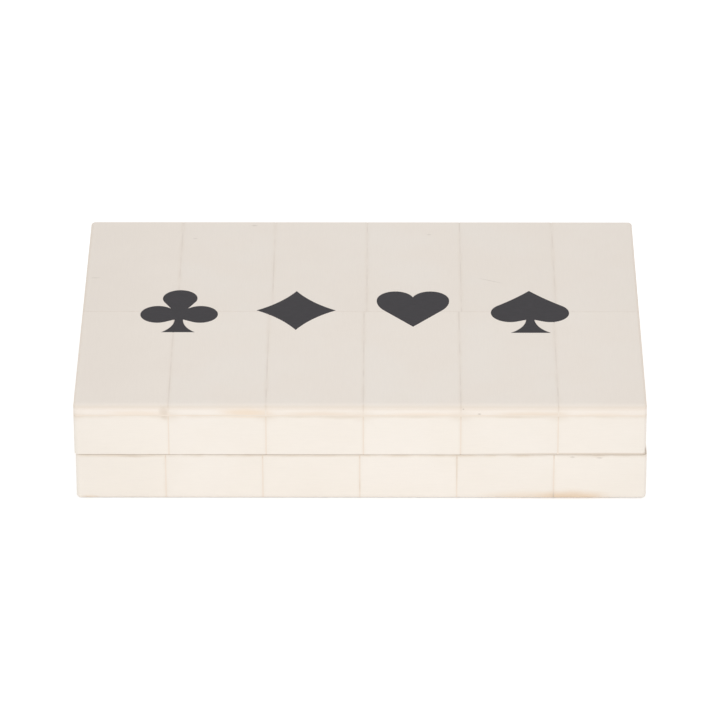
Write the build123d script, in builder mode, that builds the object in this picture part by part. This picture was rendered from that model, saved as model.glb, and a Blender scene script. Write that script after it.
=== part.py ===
from build123d import *
from math import asin, degrees, sqrt
import os

# Card and dice box: a wooden core clad in bone slabs, with a hinged lid inlaid with the four suits.
# Millimetres. X runs along the box, the front faces -Y, and the underside lies at Z = 0.

# Outer form
BOX_LENGTH = 203.2
BOX_DEPTH = 139.7
BASE_HEIGHT = 18.0
LID_HEIGHT = 20.0
RIM_GAP = 0.1  # between the closed rims
LID_SET_OVER = 0.4  # the lid sits this far to the left of the base
LID_CORNER_RADIUS = 1.6
BASE_CORNER_RADIUS = 1.4
TOP_ARRIS_RADIUS = 1.0
FRONT_ARRIS_RUN = 2.7  # the lid's front arris is filed softer: this far back along the top
FRONT_ARRIS_DROP = 1.4  # and this far down the front
FRONT_ARRIS_LIFT = 0.02  # of the filed curve past both faces, which it meets at a slight angle
UNDERSIDE_ARRIS_RADIUS = 1.2
RIM_EASE = 0.15

# Bone slabs and the resin between them
TOP_SLAB_THICKNESS = 3.7
WALL_SLAB_THICKNESS = 3.0
SLAB_WIDTH = 34.55  # seam to seam, and the end slabs are trimmed to the box
SEAM_WIDTH = 0.5
TOP_MIDDLE_SEAM_WIDTH = 0.15
SEAM_RECESS = 0.05
LONG_SIDE_SLAB_COUNT = 6
SHORT_SIDE_SLAB_COUNT = 4
TOP_MIDDLE_SEAM_Y = -0.6
LID_FRONT_SEAM_SHIFT = 1.0
LID_BACK_SEAM_SHIFT = 2.0
LID_SIDE_SEAM_SHIFT = 1.2
BASE_SEAM_SHIFT = -0.3
BASE_SIDE_SEAM_SHIFT = -1.6

# Wooden core and its wells
WALL_THICKNESS = 6.0
FLOOR_THICKNESS = 4.0
LID_PANEL_THICKNESS = 4.0
CARD_WELL_WIDTH = 68.0
DIVIDER_THICKNESS = 4.0
DIVIDER_DROP = 1.0  # below the base's rim

# Felt
LINING_THICKNESS = 1.0
LINING_CLEARANCE = 0.2
UNDERSIDE_FELT_THICKNESS = 1.0

# Brass stop hinges
HINGE_END_DISTANCE = 46.6  # from the box's end to the hinge's middle
HINGE_LENGTH = 25.0
LEAF_THICKNESS = 1.0
LEAF_REACH = 8.0  # inwards from the back face
LEAF_CLEARANCE = 0.1
KNUCKLE_RADIUS = 1.5
KNUCKLE_CLEARANCE = 0.3
CENTRE_KNUCKLE_LENGTH = 9.0
KNUCKLE_END_GAP = 0.2
PIN_RADIUS = 0.75
PIN_CLEARANCE = 0.05
STOP_LIP_THICKNESS = 0.8
OPEN_ANGLE = 95.0
STOP_LIP_ANGLE = 42.0
STOP_LIP_PLAY_ANGLE = 1.0
SCREW_RADIUS = 0.8
SCREW_HEAD_RADIUS = 1.6
SCREW_LENGTH = 8.0
SCREW_SPACING = 15.0
SCREW_SLOT_WIDTH = 0.4
SCREW_SLOT_DEPTH = 0.3
SCREW_CLEARANCE = 0.05

# Suit inlays, in one row across the lid
SUITS = ("club", "diamond", "heart", "spade")  # from left to right
INLAY_DEPTH = 2.0
INLAY_CLEARANCE = 0.05
SUIT_END_DISTANCE = 37.65  # from the lid's end to the middle of the outer suits
SUIT_ROW_SHIFT = -2.25  # of the whole row, along the lid
CLUB_WIDTH = 28.2
CLUB_HEIGHT = 31.75
CLUB_LOBE_RADIUS = 6.3
CLUB_Y = -0.25
DIAMOND_WIDTH = 28.85
DIAMOND_HEIGHT = 29.3
DIAMOND_Y = 0.3
HEART_WIDTH = 26.45
HEART_HEIGHT = 26.6
HEART_Y = 1.4
SPADE_WIDTH = 28.45
SPADE_HEIGHT = 31.6
SPADE_Y = -0.6

# Points of the suits, as shares of the width and the height, from each suit's middle
CLUB_SIDE_LOBE_SHARE = -0.079
CLUB_TOP_ROOT_SHARE = -0.122
CLUB_SIDE_ROOT_SHARES = (0.146, -0.109)
CLUB_STEM_SHARES = ((0.053, -0.12), (0.053, -0.215), (0.0925, -0.364), (0.2135, -0.5))
DIAMOND_SIDE_SHARES = (0.2225, 0.2135)
HEART_SIDE_SHARES = (0.397, -0.0429)
HEART_SHOULDER_SHARES = (0.4982, 0.2704)
HEART_CLEFT_SHARES = (0, 0.332)
SPADE_FLANK_SHARES = ((0, 0.5), (0.196, 0.3143), (0.4101, 0.1433))
SPADE_BELLY_SHARES = (0.176, -0.2346)
SPADE_ROOT_SHARES = (0.053, -0.192)
SPADE_STEM_SHARES = ((0.053, -0.12), (0.053, -0.205), (0.1, -0.349), (0.2535, -0.5))

OVERRUN = 1.0  # by which a cut passes the face that it starts from

# Levels and places that follow from these
lid_bottom = BASE_HEIGHT + RIM_GAP
lid_top = lid_bottom + LID_HEIGHT
top_slab_bottom = lid_top - TOP_SLAB_THICKNESS
lid_ceiling = top_slab_bottom - LID_PANEL_THICKNESS
base_floor_top = UNDERSIDE_FELT_THICKNESS + FLOOR_THICKNESS
divider_top = BASE_HEIGHT - DIVIDER_DROP
base_x = LID_SET_OVER / 2
lid_x = -LID_SET_OVER / 2
core_half_length = BOX_LENGTH / 2 - WALL_SLAB_THICKNESS
core_half_depth = BOX_DEPTH / 2 - WALL_SLAB_THICKNESS
inner_half_length = core_half_length - WALL_THICKNESS
inner_half_depth = core_half_depth - WALL_THICKNESS
back_y = BOX_DEPTH / 2
axis_y = back_y + KNUCKLE_RADIUS + KNUCKLE_CLEARANCE
axis_z = BASE_HEIGHT + RIM_GAP / 2
leaf_front_y = back_y - LEAF_REACH
screw_y = core_half_depth - WALL_THICKNESS / 2
suit_spacing = (BOX_LENGTH - 2 * SUIT_END_DISTANCE) / (len(SUITS) - 1)

os.makedirs("parts", exist_ok=True)


def keep(piece, name):
    """Labels a finished piece and writes it as a file of its own."""
    piece.part.label = name
    export_step(piece.part, f"parts/{name}.step")


def block(low, high, mode=Mode.ADD):
    """A plain box between two opposite corners, in the part that is being built."""
    with Locations(low):
        Box(*(Vector(*high) - Vector(*low)), align=(Align.MIN, Align.MIN, Align.MIN), mode=mode)


def shrunk(low, high, margin):
    """Moves the ends of a span inwards."""
    return low + margin, high - margin


# Outer forms, which trim the slabs and the resin


def outer_form(middle_x, bottom, height, corner_radius, inset):
    """The rounded outside of the lid or the base, drawn in by an inset on every side."""
    with BuildPart() as form:
        with BuildSketch(Plane((middle_x, 0, bottom + inset))):
            RectangleRounded(BOX_LENGTH - 2 * inset, BOX_DEPTH - 2 * inset, corner_radius - inset)
        extrude(amount=height - 2 * inset)
    return form.part


def front_arris_waste(inset):
    """What the file takes off the lid's front arris: the corner outside a quarter of an ellipse."""
    start_x = lid_x - BOX_LENGTH / 2 - OVERRUN
    middle_y = inset - BOX_DEPTH / 2 + FRONT_ARRIS_RUN
    middle_z = lid_top - inset - FRONT_ARRIS_DROP
    run = FRONT_ARRIS_RUN + FRONT_ARRIS_LIFT
    drop = FRONT_ARRIS_DROP + FRONT_ARRIS_LIFT
    with BuildPart() as waste:
        with BuildSketch(Plane((start_x, middle_y, middle_z), x_dir=(0, 1, 0), z_dir=(1, 0, 0))):
            Rectangle(run + OVERRUN, drop + OVERRUN, align=(Align.MAX, Align.MIN))
            Ellipse(run, drop, mode=Mode.SUBTRACT)
        extrude(amount=BOX_LENGTH + 2 * OVERRUN)
    return waste.part


def lid_form(inset):
    """The lid's outside, with a rounded top arris, filed softer along the front, and an eased rim."""
    with BuildPart() as form:
        add(outer_form(lid_x, lid_bottom, LID_HEIGHT, LID_CORNER_RADIUS, inset))
        fillet(form.faces().sort_by(Axis.Z)[-1].edges(), TOP_ARRIS_RADIUS - inset)
        chamfer(form.faces().sort_by(Axis.Z)[0].edges(), RIM_EASE)
        add(front_arris_waste(inset), mode=Mode.SUBTRACT)
    return form.part


def base_form(inset):
    """The base's outside, with a rounded underside arris and an eased rim."""
    with BuildPart() as form:
        add(outer_form(base_x, 0, BASE_HEIGHT, BASE_CORNER_RADIUS, inset))
        fillet(form.faces().sort_by(Axis.Z)[0].edges(), UNDERSIDE_ARRIS_RADIUS - inset)
        chamfer(form.faces().sort_by(Axis.Z)[-1].edges(), RIM_EASE)
    return form.part


# Slab cells: the box that each slab is cut from, as two opposite corners


def seam_places(slabs, middle):
    """Where the seams of a row lie, evenly spaced about its middle seam."""
    return [middle + (i - slabs // 2) * SLAB_WIDTH for i in range(1, slabs)]


def slab_spans(low, high, seams, width=SEAM_WIDTH):
    """The stretch that each slab of a row takes, with half a seam left free on both sides of a seam."""
    starts = [low] + [seam + width / 2 for seam in seams]
    ends = [seam - width / 2 for seam in seams] + [high]
    return list(zip(starts, ends))


def wall_cells(middle_x, bottom, top, front_shift, back_shift, side_shift):
    """Cells of the four walls: front and back run the whole length, the sides fit between them."""
    far_x = BOX_LENGTH / 2 + OVERRUN
    far_y = BOX_DEPTH / 2 + OVERRUN
    long_ends = (middle_x - far_x, middle_x + far_x)
    side_ends = shrunk(-core_half_depth, core_half_depth, SEAM_WIDTH)
    cells = {"front": [], "back": [], "left": [], "right": []}
    for low, high in slab_spans(*long_ends, seam_places(LONG_SIDE_SLAB_COUNT, front_shift)):
        cells["front"].append(((low, -far_y, bottom), (high, -core_half_depth, top)))
    for low, high in slab_spans(*long_ends, seam_places(LONG_SIDE_SLAB_COUNT, back_shift)):
        cells["back"].append(((low, core_half_depth, bottom), (high, far_y, top)))
    for low, high in slab_spans(*side_ends, seam_places(SHORT_SIDE_SLAB_COUNT, side_shift)):
        cells["left"].append(((middle_x - far_x, low, bottom), (middle_x - core_half_length, high, top)))
        cells["right"].append(((middle_x + core_half_length, low, bottom), (middle_x + far_x, high, top)))
    return cells


def top_cells():
    """Cells of the two rows on the lid's top, with their names."""
    far_x = BOX_LENGTH / 2 + OVERRUN
    far_y = BOX_DEPTH / 2 + OVERRUN
    front_span, back_span = slab_spans(-far_y, far_y, [TOP_MIDDLE_SEAM_Y], TOP_MIDDLE_SEAM_WIDTH)
    rows = {"front": (front_span, LID_FRONT_SEAM_SHIFT), "back": (back_span, LID_BACK_SEAM_SHIFT)}
    cells = {}
    for row, ((start, end), shift) in rows.items():
        spans = slab_spans(lid_x - far_x, lid_x + far_x, seam_places(LONG_SIDE_SLAB_COUNT, shift))
        for number, (low, high) in enumerate(spans, 1):
            name = f"lid_top_{row}_slab_{number}"
            cells[name] = ((low, start, top_slab_bottom), (high, end, lid_top + OVERRUN))
    return cells


lid_top_cells = top_cells()
lid_wall_cells = wall_cells(
    lid_x,
    lid_bottom - OVERRUN,
    top_slab_bottom - SEAM_WIDTH,
    LID_FRONT_SEAM_SHIFT,
    LID_BACK_SEAM_SHIFT,
    LID_SIDE_SEAM_SHIFT,
)
base_wall_cells = wall_cells(
    base_x,
    -OVERRUN,
    BASE_HEIGHT + OVERRUN,
    BASE_SEAM_SHIFT,
    BASE_SEAM_SHIFT,
    BASE_SIDE_SEAM_SHIFT,
)

# Suit outlines, each on the lid's top


def suit_plane(suit, y):
    """The plane of one suit, by its place in the row."""
    steps_from_middle = SUITS.index(suit) - (len(SUITS) - 1) / 2
    return Plane((lid_x + SUIT_ROW_SHIFT + steps_from_middle * suit_spacing, y, lid_top))


def spread(shares, width, height):
    """Turns one pair of shares into a point."""
    return Vector(shares[0] * width, shares[1] * height)


def stem(shares, width, height):
    """The flared stem of a club or a spade."""
    top, neck, waist, foot = [spread(pair, width, height) for pair in shares]
    with BuildSketch() as outline:
        with BuildLine():
            Line((0, top.Y), top)
            Line(top, neck)
            ThreePointArc(neck, waist, foot)
            Line(foot, (0, foot.Y))
            mirror(about=Plane.YZ)
        make_face()
    return outline.sketch


def lobe(centre, root):
    """A round lobe of the club that narrows to its root along two tangents."""
    reach = Vector(*centre) - Vector(*root)
    tangent = reach.normalized() * sqrt(reach.length**2 - CLUB_LOBE_RADIUS**2)
    turn = degrees(asin(CLUB_LOBE_RADIUS / reach.length))
    touch_points = [Vector(*root) + tangent.rotate(Axis.Z, angle) for angle in (turn, -turn)]
    with BuildSketch() as outline:
        with Locations(centre):
            Circle(CLUB_LOBE_RADIUS)
        Polygon(root, *touch_points, align=None)
    return outline.sketch


with BuildSketch(suit_plane("club", CLUB_Y)) as club_outline:
    side_x = CLUB_WIDTH / 2 - CLUB_LOBE_RADIUS
    side_y = CLUB_SIDE_LOBE_SHARE * CLUB_HEIGHT
    side_root = spread(CLUB_SIDE_ROOT_SHARES, CLUB_WIDTH, CLUB_HEIGHT)
    add(lobe((0, CLUB_HEIGHT / 2 - CLUB_LOBE_RADIUS), (0, CLUB_TOP_ROOT_SHARE * CLUB_HEIGHT)))
    for hand in (-1, 1):
        add(lobe((hand * side_x, side_y), (-hand * side_root.X, side_root.Y)))
    add(stem(CLUB_STEM_SHARES, CLUB_WIDTH, CLUB_HEIGHT))

with BuildSketch(suit_plane("diamond", DIAMOND_Y)) as diamond_outline:
    with BuildLine():
        ThreePointArc(
            (DIAMOND_WIDTH / 2, 0),
            spread(DIAMOND_SIDE_SHARES, DIAMOND_WIDTH, DIAMOND_HEIGHT),
            (0, DIAMOND_HEIGHT / 2),
        )
        mirror(about=Plane.XZ)
        mirror(about=Plane.YZ)
    make_face()

with BuildSketch(suit_plane("heart", HEART_Y)) as heart_outline:
    with BuildLine():
        side_end, shoulder, cleft = [
            spread(pair, HEART_WIDTH, HEART_HEIGHT)
            for pair in (HEART_SIDE_SHARES, HEART_SHOULDER_SHARES, HEART_CLEFT_SHARES)
        ]
        side = Line((0, -HEART_HEIGHT / 2), side_end)
        outer = TangentArc(side @ 1, shoulder, tangent=side % 1)
        TangentArc(outer @ 1, cleft, tangent=outer % 1)
        mirror(about=Plane.YZ)
    make_face()

with BuildSketch(suit_plane("spade", SPADE_Y)) as spade_outline:
    with BuildLine():
        belly = spread(SPADE_BELLY_SHARES, SPADE_WIDTH, SPADE_HEIGHT)
        root = spread(SPADE_ROOT_SHARES, SPADE_WIDTH, SPADE_HEIGHT)
        flank = ThreePointArc(*[spread(pair, SPADE_WIDTH, SPADE_HEIGHT) for pair in SPADE_FLANK_SHARES])
        lobe_arc = TangentArc(flank @ 1, belly, tangent=flank % 1)
        Line(lobe_arc @ 1, root)
        Line(root, (0, root.Y))
        mirror(about=Plane.YZ)
    make_face()
    add(stem(SPADE_STEM_SHARES, SPADE_WIDTH, SPADE_HEIGHT))

suit_sketches = (club_outline, diamond_outline, heart_outline, spade_outline)
suit_outlines = {suit: outline.sketch for suit, outline in zip(SUITS, suit_sketches)}

with BuildPart() as suit_pockets:
    for outline in suit_outlines.values():
        extrude(offset(outline, INLAY_CLEARANCE, mode=Mode.PRIVATE), amount=-INLAY_DEPTH)

for suit, outline in suit_outlines.items():
    with BuildPart() as inlay:
        extrude(outline, amount=-INLAY_DEPTH)
    keep(inlay, f"{suit}_inlay")

# Hinges: shared shapes


def hinge_places():
    """The middle of each hinge along the box, with its name."""
    hinge_x = BOX_LENGTH / 2 - HINGE_END_DISTANCE
    return {"left": -hinge_x, "right": hinge_x}


def hinge_screws(surface_z, hand, clearance):
    """Countersunk screws of one rim, heads at its surface: hand is -1 into the base and 1 into the lid."""
    shank_radius = SCREW_RADIUS + clearance
    head_radius = SCREW_HEAD_RADIUS + clearance
    head_height = head_radius - shank_radius
    places = [(x + end * SCREW_SPACING / 2, screw_y) for x in hinge_places().values() for end in (-1, 1)]
    with BuildPart() as screws:
        for x, y in places:
            with BuildSketch(Plane((x, y, surface_z), x_dir=(1, 0, 0), z_dir=(0, -hand, 0))):
                with BuildLine():
                    Polyline(
                        (0, 0),
                        (head_radius, 0),
                        (shank_radius, head_height),
                        (shank_radius, SCREW_LENGTH + clearance),
                        (0, SCREW_LENGTH + clearance),
                        close=True,
                    )
                make_face()
            revolve(axis=Axis((x, y, surface_z), (0, 0, 1)))
    return screws.part


def leaf_beds(low_z, high_z):
    """The recesses that the leaves lie in, open at the back face."""
    with BuildPart() as beds:
        for x in hinge_places().values():
            half = HINGE_LENGTH / 2 + LEAF_CLEARANCE
            block((x - half, leaf_front_y - LEAF_CLEARANCE, low_z), (x + half, back_y + OVERRUN, high_z))
    return beds.part


base_leaf_beds = leaf_beds(BASE_HEIGHT - LEAF_THICKNESS, BASE_HEIGHT + OVERRUN)
lid_leaf_beds = leaf_beds(lid_bottom - OVERRUN, lid_bottom + LEAF_THICKNESS)
base_screw_holes = hinge_screws(BASE_HEIGHT, -1, SCREW_CLEARANCE)
lid_screw_holes = hinge_screws(lid_bottom, 1, SCREW_CLEARANCE)

# Bone slabs

whole_lid_form = lid_form(0)
whole_base_form = base_form(0)

for name, cell in lid_top_cells.items():
    with BuildPart() as top_slab:
        block(*cell)
        add(whole_lid_form, mode=Mode.INTERSECT)
        add(suit_pockets.part, mode=Mode.SUBTRACT)
    keep(top_slab, name)

for side, cells in lid_wall_cells.items():
    with BuildPart() as wall_slabs:
        for cell in cells:
            block(*cell)
        add(whole_lid_form, mode=Mode.INTERSECT)
        add(lid_leaf_beds, mode=Mode.SUBTRACT)
    keep(wall_slabs, f"lid_{side}_slabs")

for side, cells in base_wall_cells.items():
    with BuildPart() as wall_slabs:
        for cell in cells:
            block(*cell)
        add(whole_base_form, mode=Mode.INTERSECT)
        add(base_leaf_beds, mode=Mode.SUBTRACT)
    keep(wall_slabs, f"base_{side}_slabs")

# Resin in the seams: what the slabs leave free of the cladding, a little below its surface

with BuildPart() as lid_seam_resin:
    add(lid_form(SEAM_RECESS))
    block(
        (lid_x - core_half_length, -core_half_depth, lid_bottom - OVERRUN),
        (lid_x + core_half_length, core_half_depth, top_slab_bottom),
        mode=Mode.SUBTRACT,
    )
    for cell in list(lid_top_cells.values()) + sum(lid_wall_cells.values(), []):
        block(*cell, mode=Mode.SUBTRACT)
    add(suit_pockets.part, mode=Mode.SUBTRACT)
    add(lid_leaf_beds, mode=Mode.SUBTRACT)
keep(lid_seam_resin, "lid_seam_resin")

with BuildPart() as base_seam_resin:
    add(base_form(SEAM_RECESS))
    block(
        (base_x - core_half_length, -core_half_depth, -OVERRUN),
        (base_x + core_half_length, core_half_depth, BASE_HEIGHT + OVERRUN),
        mode=Mode.SUBTRACT,
    )
    for cell in sum(base_wall_cells.values(), []):
        block(*cell, mode=Mode.SUBTRACT)
    add(base_leaf_beds, mode=Mode.SUBTRACT)
keep(base_seam_resin, "base_seam_resin")

# Wooden core


def core_walls(middle_x, low_z, high_z):
    """Opposite corners of the four core walls: front and back run the whole length."""
    left, right = middle_x - core_half_length, middle_x + core_half_length
    inner_left, inner_right = middle_x - inner_half_length, middle_x + inner_half_length
    return {
        "front": ((left, -core_half_depth, low_z), (right, -inner_half_depth, high_z)),
        "back": ((left, inner_half_depth, low_z), (right, core_half_depth, high_z)),
        "left": ((left, -inner_half_depth, low_z), (inner_left, inner_half_depth, high_z)),
        "right": ((inner_right, -inner_half_depth, low_z), (right, inner_half_depth, high_z)),
    }


for side, corners in core_walls(lid_x, lid_bottom, lid_ceiling).items():
    with BuildPart() as wall:
        block(*corners)
        add(lid_leaf_beds, mode=Mode.SUBTRACT)
        add(lid_screw_holes, mode=Mode.SUBTRACT)
    keep(wall, f"lid_{side}_wall")

for side, corners in core_walls(base_x, base_floor_top, BASE_HEIGHT).items():
    with BuildPart() as wall:
        block(*corners)
        add(base_leaf_beds, mode=Mode.SUBTRACT)
        add(base_screw_holes, mode=Mode.SUBTRACT)
    keep(wall, f"base_{side}_wall")

with BuildPart() as lid_panel:
    block(
        (lid_x - core_half_length, -core_half_depth, lid_ceiling),
        (lid_x + core_half_length, core_half_depth, top_slab_bottom),
    )
keep(lid_panel, "lid_panel")

with BuildPart() as base_floor:
    block(
        (base_x - core_half_length, -core_half_depth, UNDERSIDE_FELT_THICKNESS),
        (base_x + core_half_length, core_half_depth, base_floor_top),
    )
keep(base_floor, "base_floor")

# Wells, from left to right: where each starts and ends along the box

left_well = (base_x - inner_half_length, base_x - inner_half_length + CARD_WELL_WIDTH)
right_well = (base_x + inner_half_length - CARD_WELL_WIDTH, base_x + inner_half_length)
dice_well = (left_well[1] + DIVIDER_THICKNESS, right_well[0] - DIVIDER_THICKNESS)

with BuildPart() as left_divider:
    block((left_well[1], -inner_half_depth, base_floor_top), (dice_well[0], inner_half_depth, divider_top))
keep(left_divider, "left_divider")

with BuildPart() as right_divider:
    block((dice_well[1], -inner_half_depth, base_floor_top), (right_well[0], inner_half_depth, divider_top))
keep(right_divider, "right_divider")

# Felt


def felt_sheet(x_span, half_depth, low_z, thickness):
    """A flat sheet of felt, cut a little smaller than the place that it lies in."""
    low_x, high_x = shrunk(*x_span, LINING_CLEARANCE)
    low_y, high_y = shrunk(-half_depth, half_depth, LINING_CLEARANCE)
    with BuildPart() as sheet:
        block((low_x, low_y, low_z), (high_x, high_y, low_z + thickness))
    return sheet


wells = {"left_card_well": left_well, "dice_well": dice_well, "right_card_well": right_well}
for name, span in wells.items():
    keep(felt_sheet(span, inner_half_depth, base_floor_top, LINING_THICKNESS), f"{name}_lining")

lid_inner_span = (lid_x - inner_half_length, lid_x + inner_half_length)
lid_lining_bottom = lid_ceiling - LINING_THICKNESS
keep(felt_sheet(lid_inner_span, inner_half_depth, lid_lining_bottom, LINING_THICKNESS), "lid_lining")

base_core_span = (base_x - core_half_length, base_x + core_half_length)
keep(felt_sheet(base_core_span, core_half_depth, 0, UNDERSIDE_FELT_THICKNESS), "underside_felt")

# Hinge leaves, pins and screws


def hinge_plane(x):
    """A plane square to the hinge axis: its X points out of the back and its Y points up."""
    return Plane((x, axis_y, axis_z), x_dir=(0, 1, 0), z_dir=(1, 0, 0))


def stop_wedge(hand):
    """The corners of the wedge, about the axis, that a leaf's stop lip fills."""
    far = 2 * (KNUCKLE_RADIUS + KNUCKLE_CLEARANCE + STOP_LIP_THICKNESS)
    first_angle = OPEN_ANGLE / 2 + STOP_LIP_PLAY_ANGLE
    angles = (first_angle, first_angle + STOP_LIP_ANGLE)
    return [(0, 0)] + [Vector(far, 0).rotate(Axis.Z, hand * angle) for angle in angles]


def hinge_leaf(middle_x, surface_z, hand, knuckle_spans, screw_holes):
    """One leaf: plate, knuckles and stop lip. hand is -1 for the base's leaf and 1 for the lid's."""
    lip_inner_radius = KNUCKLE_RADIUS + KNUCKLE_CLEARANCE
    lip_outer_radius = lip_inner_radius + STOP_LIP_THICKNESS
    half = HINGE_LENGTH / 2
    low_z, high_z = sorted((surface_z, surface_z + hand * LEAF_THICKNESS))
    with BuildPart() as leaf:
        block((middle_x - half, leaf_front_y, low_z), (middle_x + half, back_y, high_z))
        with BuildSketch(hinge_plane(middle_x - half)):
            Circle(lip_outer_radius)
            Circle(lip_inner_radius, mode=Mode.SUBTRACT)
            Polygon(*stop_wedge(hand), align=None, mode=Mode.INTERSECT)
        extrude(amount=HINGE_LENGTH)
        for start, end in knuckle_spans:
            block((middle_x + start, back_y, low_z), (middle_x + end, axis_y, high_z))
            with BuildSketch(hinge_plane(middle_x + start)):
                Circle(lip_outer_radius)
                Polygon(*stop_wedge(hand), align=None, mode=Mode.INTERSECT)
                Circle(KNUCKLE_RADIUS)
            extrude(amount=end - start)
        with BuildSketch(hinge_plane(middle_x - half)):
            Circle(PIN_RADIUS + PIN_CLEARANCE)
        extrude(amount=HINGE_LENGTH, mode=Mode.SUBTRACT)
        add(screw_holes, mode=Mode.SUBTRACT)
    return leaf


centre_end = CENTRE_KNUCKLE_LENGTH / 2
outer_start = centre_end + KNUCKLE_END_GAP
centre_knuckle = [(-centre_end, centre_end)]
outer_knuckles = [(-HINGE_LENGTH / 2, -outer_start), (outer_start, HINGE_LENGTH / 2)]

for side, x in hinge_places().items():
    keep(hinge_leaf(x, BASE_HEIGHT, -1, outer_knuckles, base_screw_holes), f"{side}_hinge_lower_leaf")
    keep(hinge_leaf(x, lid_bottom, 1, centre_knuckle, lid_screw_holes), f"{side}_hinge_upper_leaf")
    with BuildPart() as pin:
        with BuildSketch(hinge_plane(x - HINGE_LENGTH / 2)):
            Circle(PIN_RADIUS)
        extrude(amount=HINGE_LENGTH)
    keep(pin, f"{side}_hinge_pin")


def slotted_screws(surface_z, hand):
    """The screws of one rim, each with a slot across its head."""
    low_z, high_z = sorted((surface_z - hand * OVERRUN, surface_z + hand * SCREW_SLOT_DEPTH))
    low_y, high_y = screw_y - SCREW_SLOT_WIDTH / 2, screw_y + SCREW_SLOT_WIDTH / 2
    reach = BOX_LENGTH / 2
    with BuildPart() as screws:
        add(hinge_screws(surface_z, hand, 0))
        block((-reach, low_y, low_z), (reach, high_y, high_z), mode=Mode.SUBTRACT)
    return screws


keep(slotted_screws(BASE_HEIGHT, -1), "base_hinge_screws")
keep(slotted_screws(lid_bottom, 1), "lid_hinge_screws")
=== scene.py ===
import math
from typing import NamedTuple

import bmesh
import bpy
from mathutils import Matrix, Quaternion, Vector, noise


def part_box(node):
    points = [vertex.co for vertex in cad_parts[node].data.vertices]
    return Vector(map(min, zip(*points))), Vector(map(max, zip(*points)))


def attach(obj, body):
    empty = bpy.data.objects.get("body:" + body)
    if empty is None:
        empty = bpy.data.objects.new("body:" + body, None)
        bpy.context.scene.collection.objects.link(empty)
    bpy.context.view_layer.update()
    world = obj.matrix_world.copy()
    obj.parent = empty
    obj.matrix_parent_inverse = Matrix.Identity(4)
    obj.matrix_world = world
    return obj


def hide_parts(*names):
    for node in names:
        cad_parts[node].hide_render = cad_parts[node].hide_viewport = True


# Looks of the card and dice box: bone, resin, inlays, wood, felt and brass, then the studio and the camera.
# The scene is in metres. Textures are laid out in millimetres, in the frame of the solids.

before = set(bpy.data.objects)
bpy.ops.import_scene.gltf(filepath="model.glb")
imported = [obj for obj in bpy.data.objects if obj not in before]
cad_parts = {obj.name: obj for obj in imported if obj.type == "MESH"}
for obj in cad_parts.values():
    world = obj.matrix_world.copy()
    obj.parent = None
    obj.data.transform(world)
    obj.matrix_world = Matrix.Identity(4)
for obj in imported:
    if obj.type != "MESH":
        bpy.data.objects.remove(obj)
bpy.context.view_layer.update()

MM = 0.001
AXES = {"X": 0, "Y": 1, "Z": 2}

# Colours, as linear red, green, blue and opacity

BONE_TOP = (0.877, 0.800, 0.722, 1)
BONE_WALL = (0.869, 0.805, 0.728, 1)
BONE_COOL = (0.856, 0.800, 0.738, 1)
# A darker bone colour for dirt and stains, and for painted shade along the rounded front edge, at the ends
# of the top and beside the rim
BONE_DIRT_AND_SHADE = (0.68, 0.57, 0.45, 1)
BONE_TAN = (0.74, 0.57, 0.40, 1)
BONE_ROSE = (0.83, 0.69, 0.55, 1)
# A smudge colour for stains, and for painted shade beside the rim
BONE_SMUDGE_AND_SHADE = (0.56, 0.45, 0.34, 1)
BONE_GREY = (0.42, 0.36, 0.30, 1)
BONE_BROWN = (0.36, 0.27, 0.20, 1)
RESIN_LIGHT = (0.845, 0.770, 0.695, 1)
RESIN_DARK = (0.785, 0.710, 0.640, 1)
RESIN_WARM = (0.815, 0.718, 0.615, 1)
INLAY = (0.042, 0.039, 0.043, 1)
INLAY_LIGHT = (0.054, 0.050, 0.055, 1)
WOOD_LIGHT = (0.36, 0.20, 0.105, 1)
WOOD_DARK = (0.20, 0.098, 0.047, 1)
WOOD_PORE = (0.09, 0.042, 0.02, 1)
FELT = (0.022, 0.021, 0.023, 1)
FELT_LIGHT = (0.070, 0.068, 0.072, 1)
FELT_LINT = (0.16, 0.155, 0.16, 1)
BRASS = (0.78, 0.57, 0.27, 1)
BRASS_DULL = (0.60, 0.42, 0.19, 1)
SCREW_BRASS = (0.64, 0.42, 0.18, 1)
SCREW_BRASS_DULL = (0.46, 0.29, 0.12, 1)
FLOOR = (0.90, 0.90, 0.90, 1)
WHITE = (1, 1, 1, 1)

# Places in millimetres, read from the solids


def corners(node):
    """The low and the high corner of a solid's box, in millimetres."""
    low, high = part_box(node)
    return Vector(low) / MM, Vector(high) / MM


def middle_seam(row):
    """Where the middle seam of one row on the lid's top lies."""
    return (corners(f"lid_top_{row}_slab_3")[1].x + corners(f"lid_top_{row}_slab_4")[0].x) / 2


SLAB_WIDTH = corners("lid_top_front_slab_4")[0].x - corners("lid_top_front_slab_3")[0].x
TOP_FRONT_SEAM_X = middle_seam("front")
TOP_BACK_SEAM_X = middle_seam("back")
LEFT_X = corners("lid_front_slabs")[0].x
RIGHT_X = corners("lid_front_slabs")[1].x
FRONT_Y = corners("base_front_slabs")[0].y
BACK_Y = corners("base_back_slabs")[1].y
UNDERSIDE_Z = corners("base_front_slabs")[0].z
RIM_Z = corners("base_front_slabs")[1].z
TOP_JOINT_Z = corners("lid_front_slabs")[1].z
TOP_SLAB_Z = corners("lid_top_front_slab_1")[0].z
TOP_Z = corners("lid_top_front_slab_1")[1].z

# Middle seams of the walls, in millimetres. The slabs of one wall share a name, so no box shows these.

LID_SIDE_SEAM_Y = 1.2
BASE_SEAM_X = -0.3
BASE_SIDE_SEAM_Y = -1.6

# Node helpers

NOISE_SPREAD = (0.3, 0.7)  # the values that noise mostly lies between


def new_material(name):
    """A node material and its main shader."""
    material = bpy.data.materials.new(name)
    material.use_nodes = True
    return material, material.node_tree, material.node_tree.nodes["Principled BSDF"]


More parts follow.
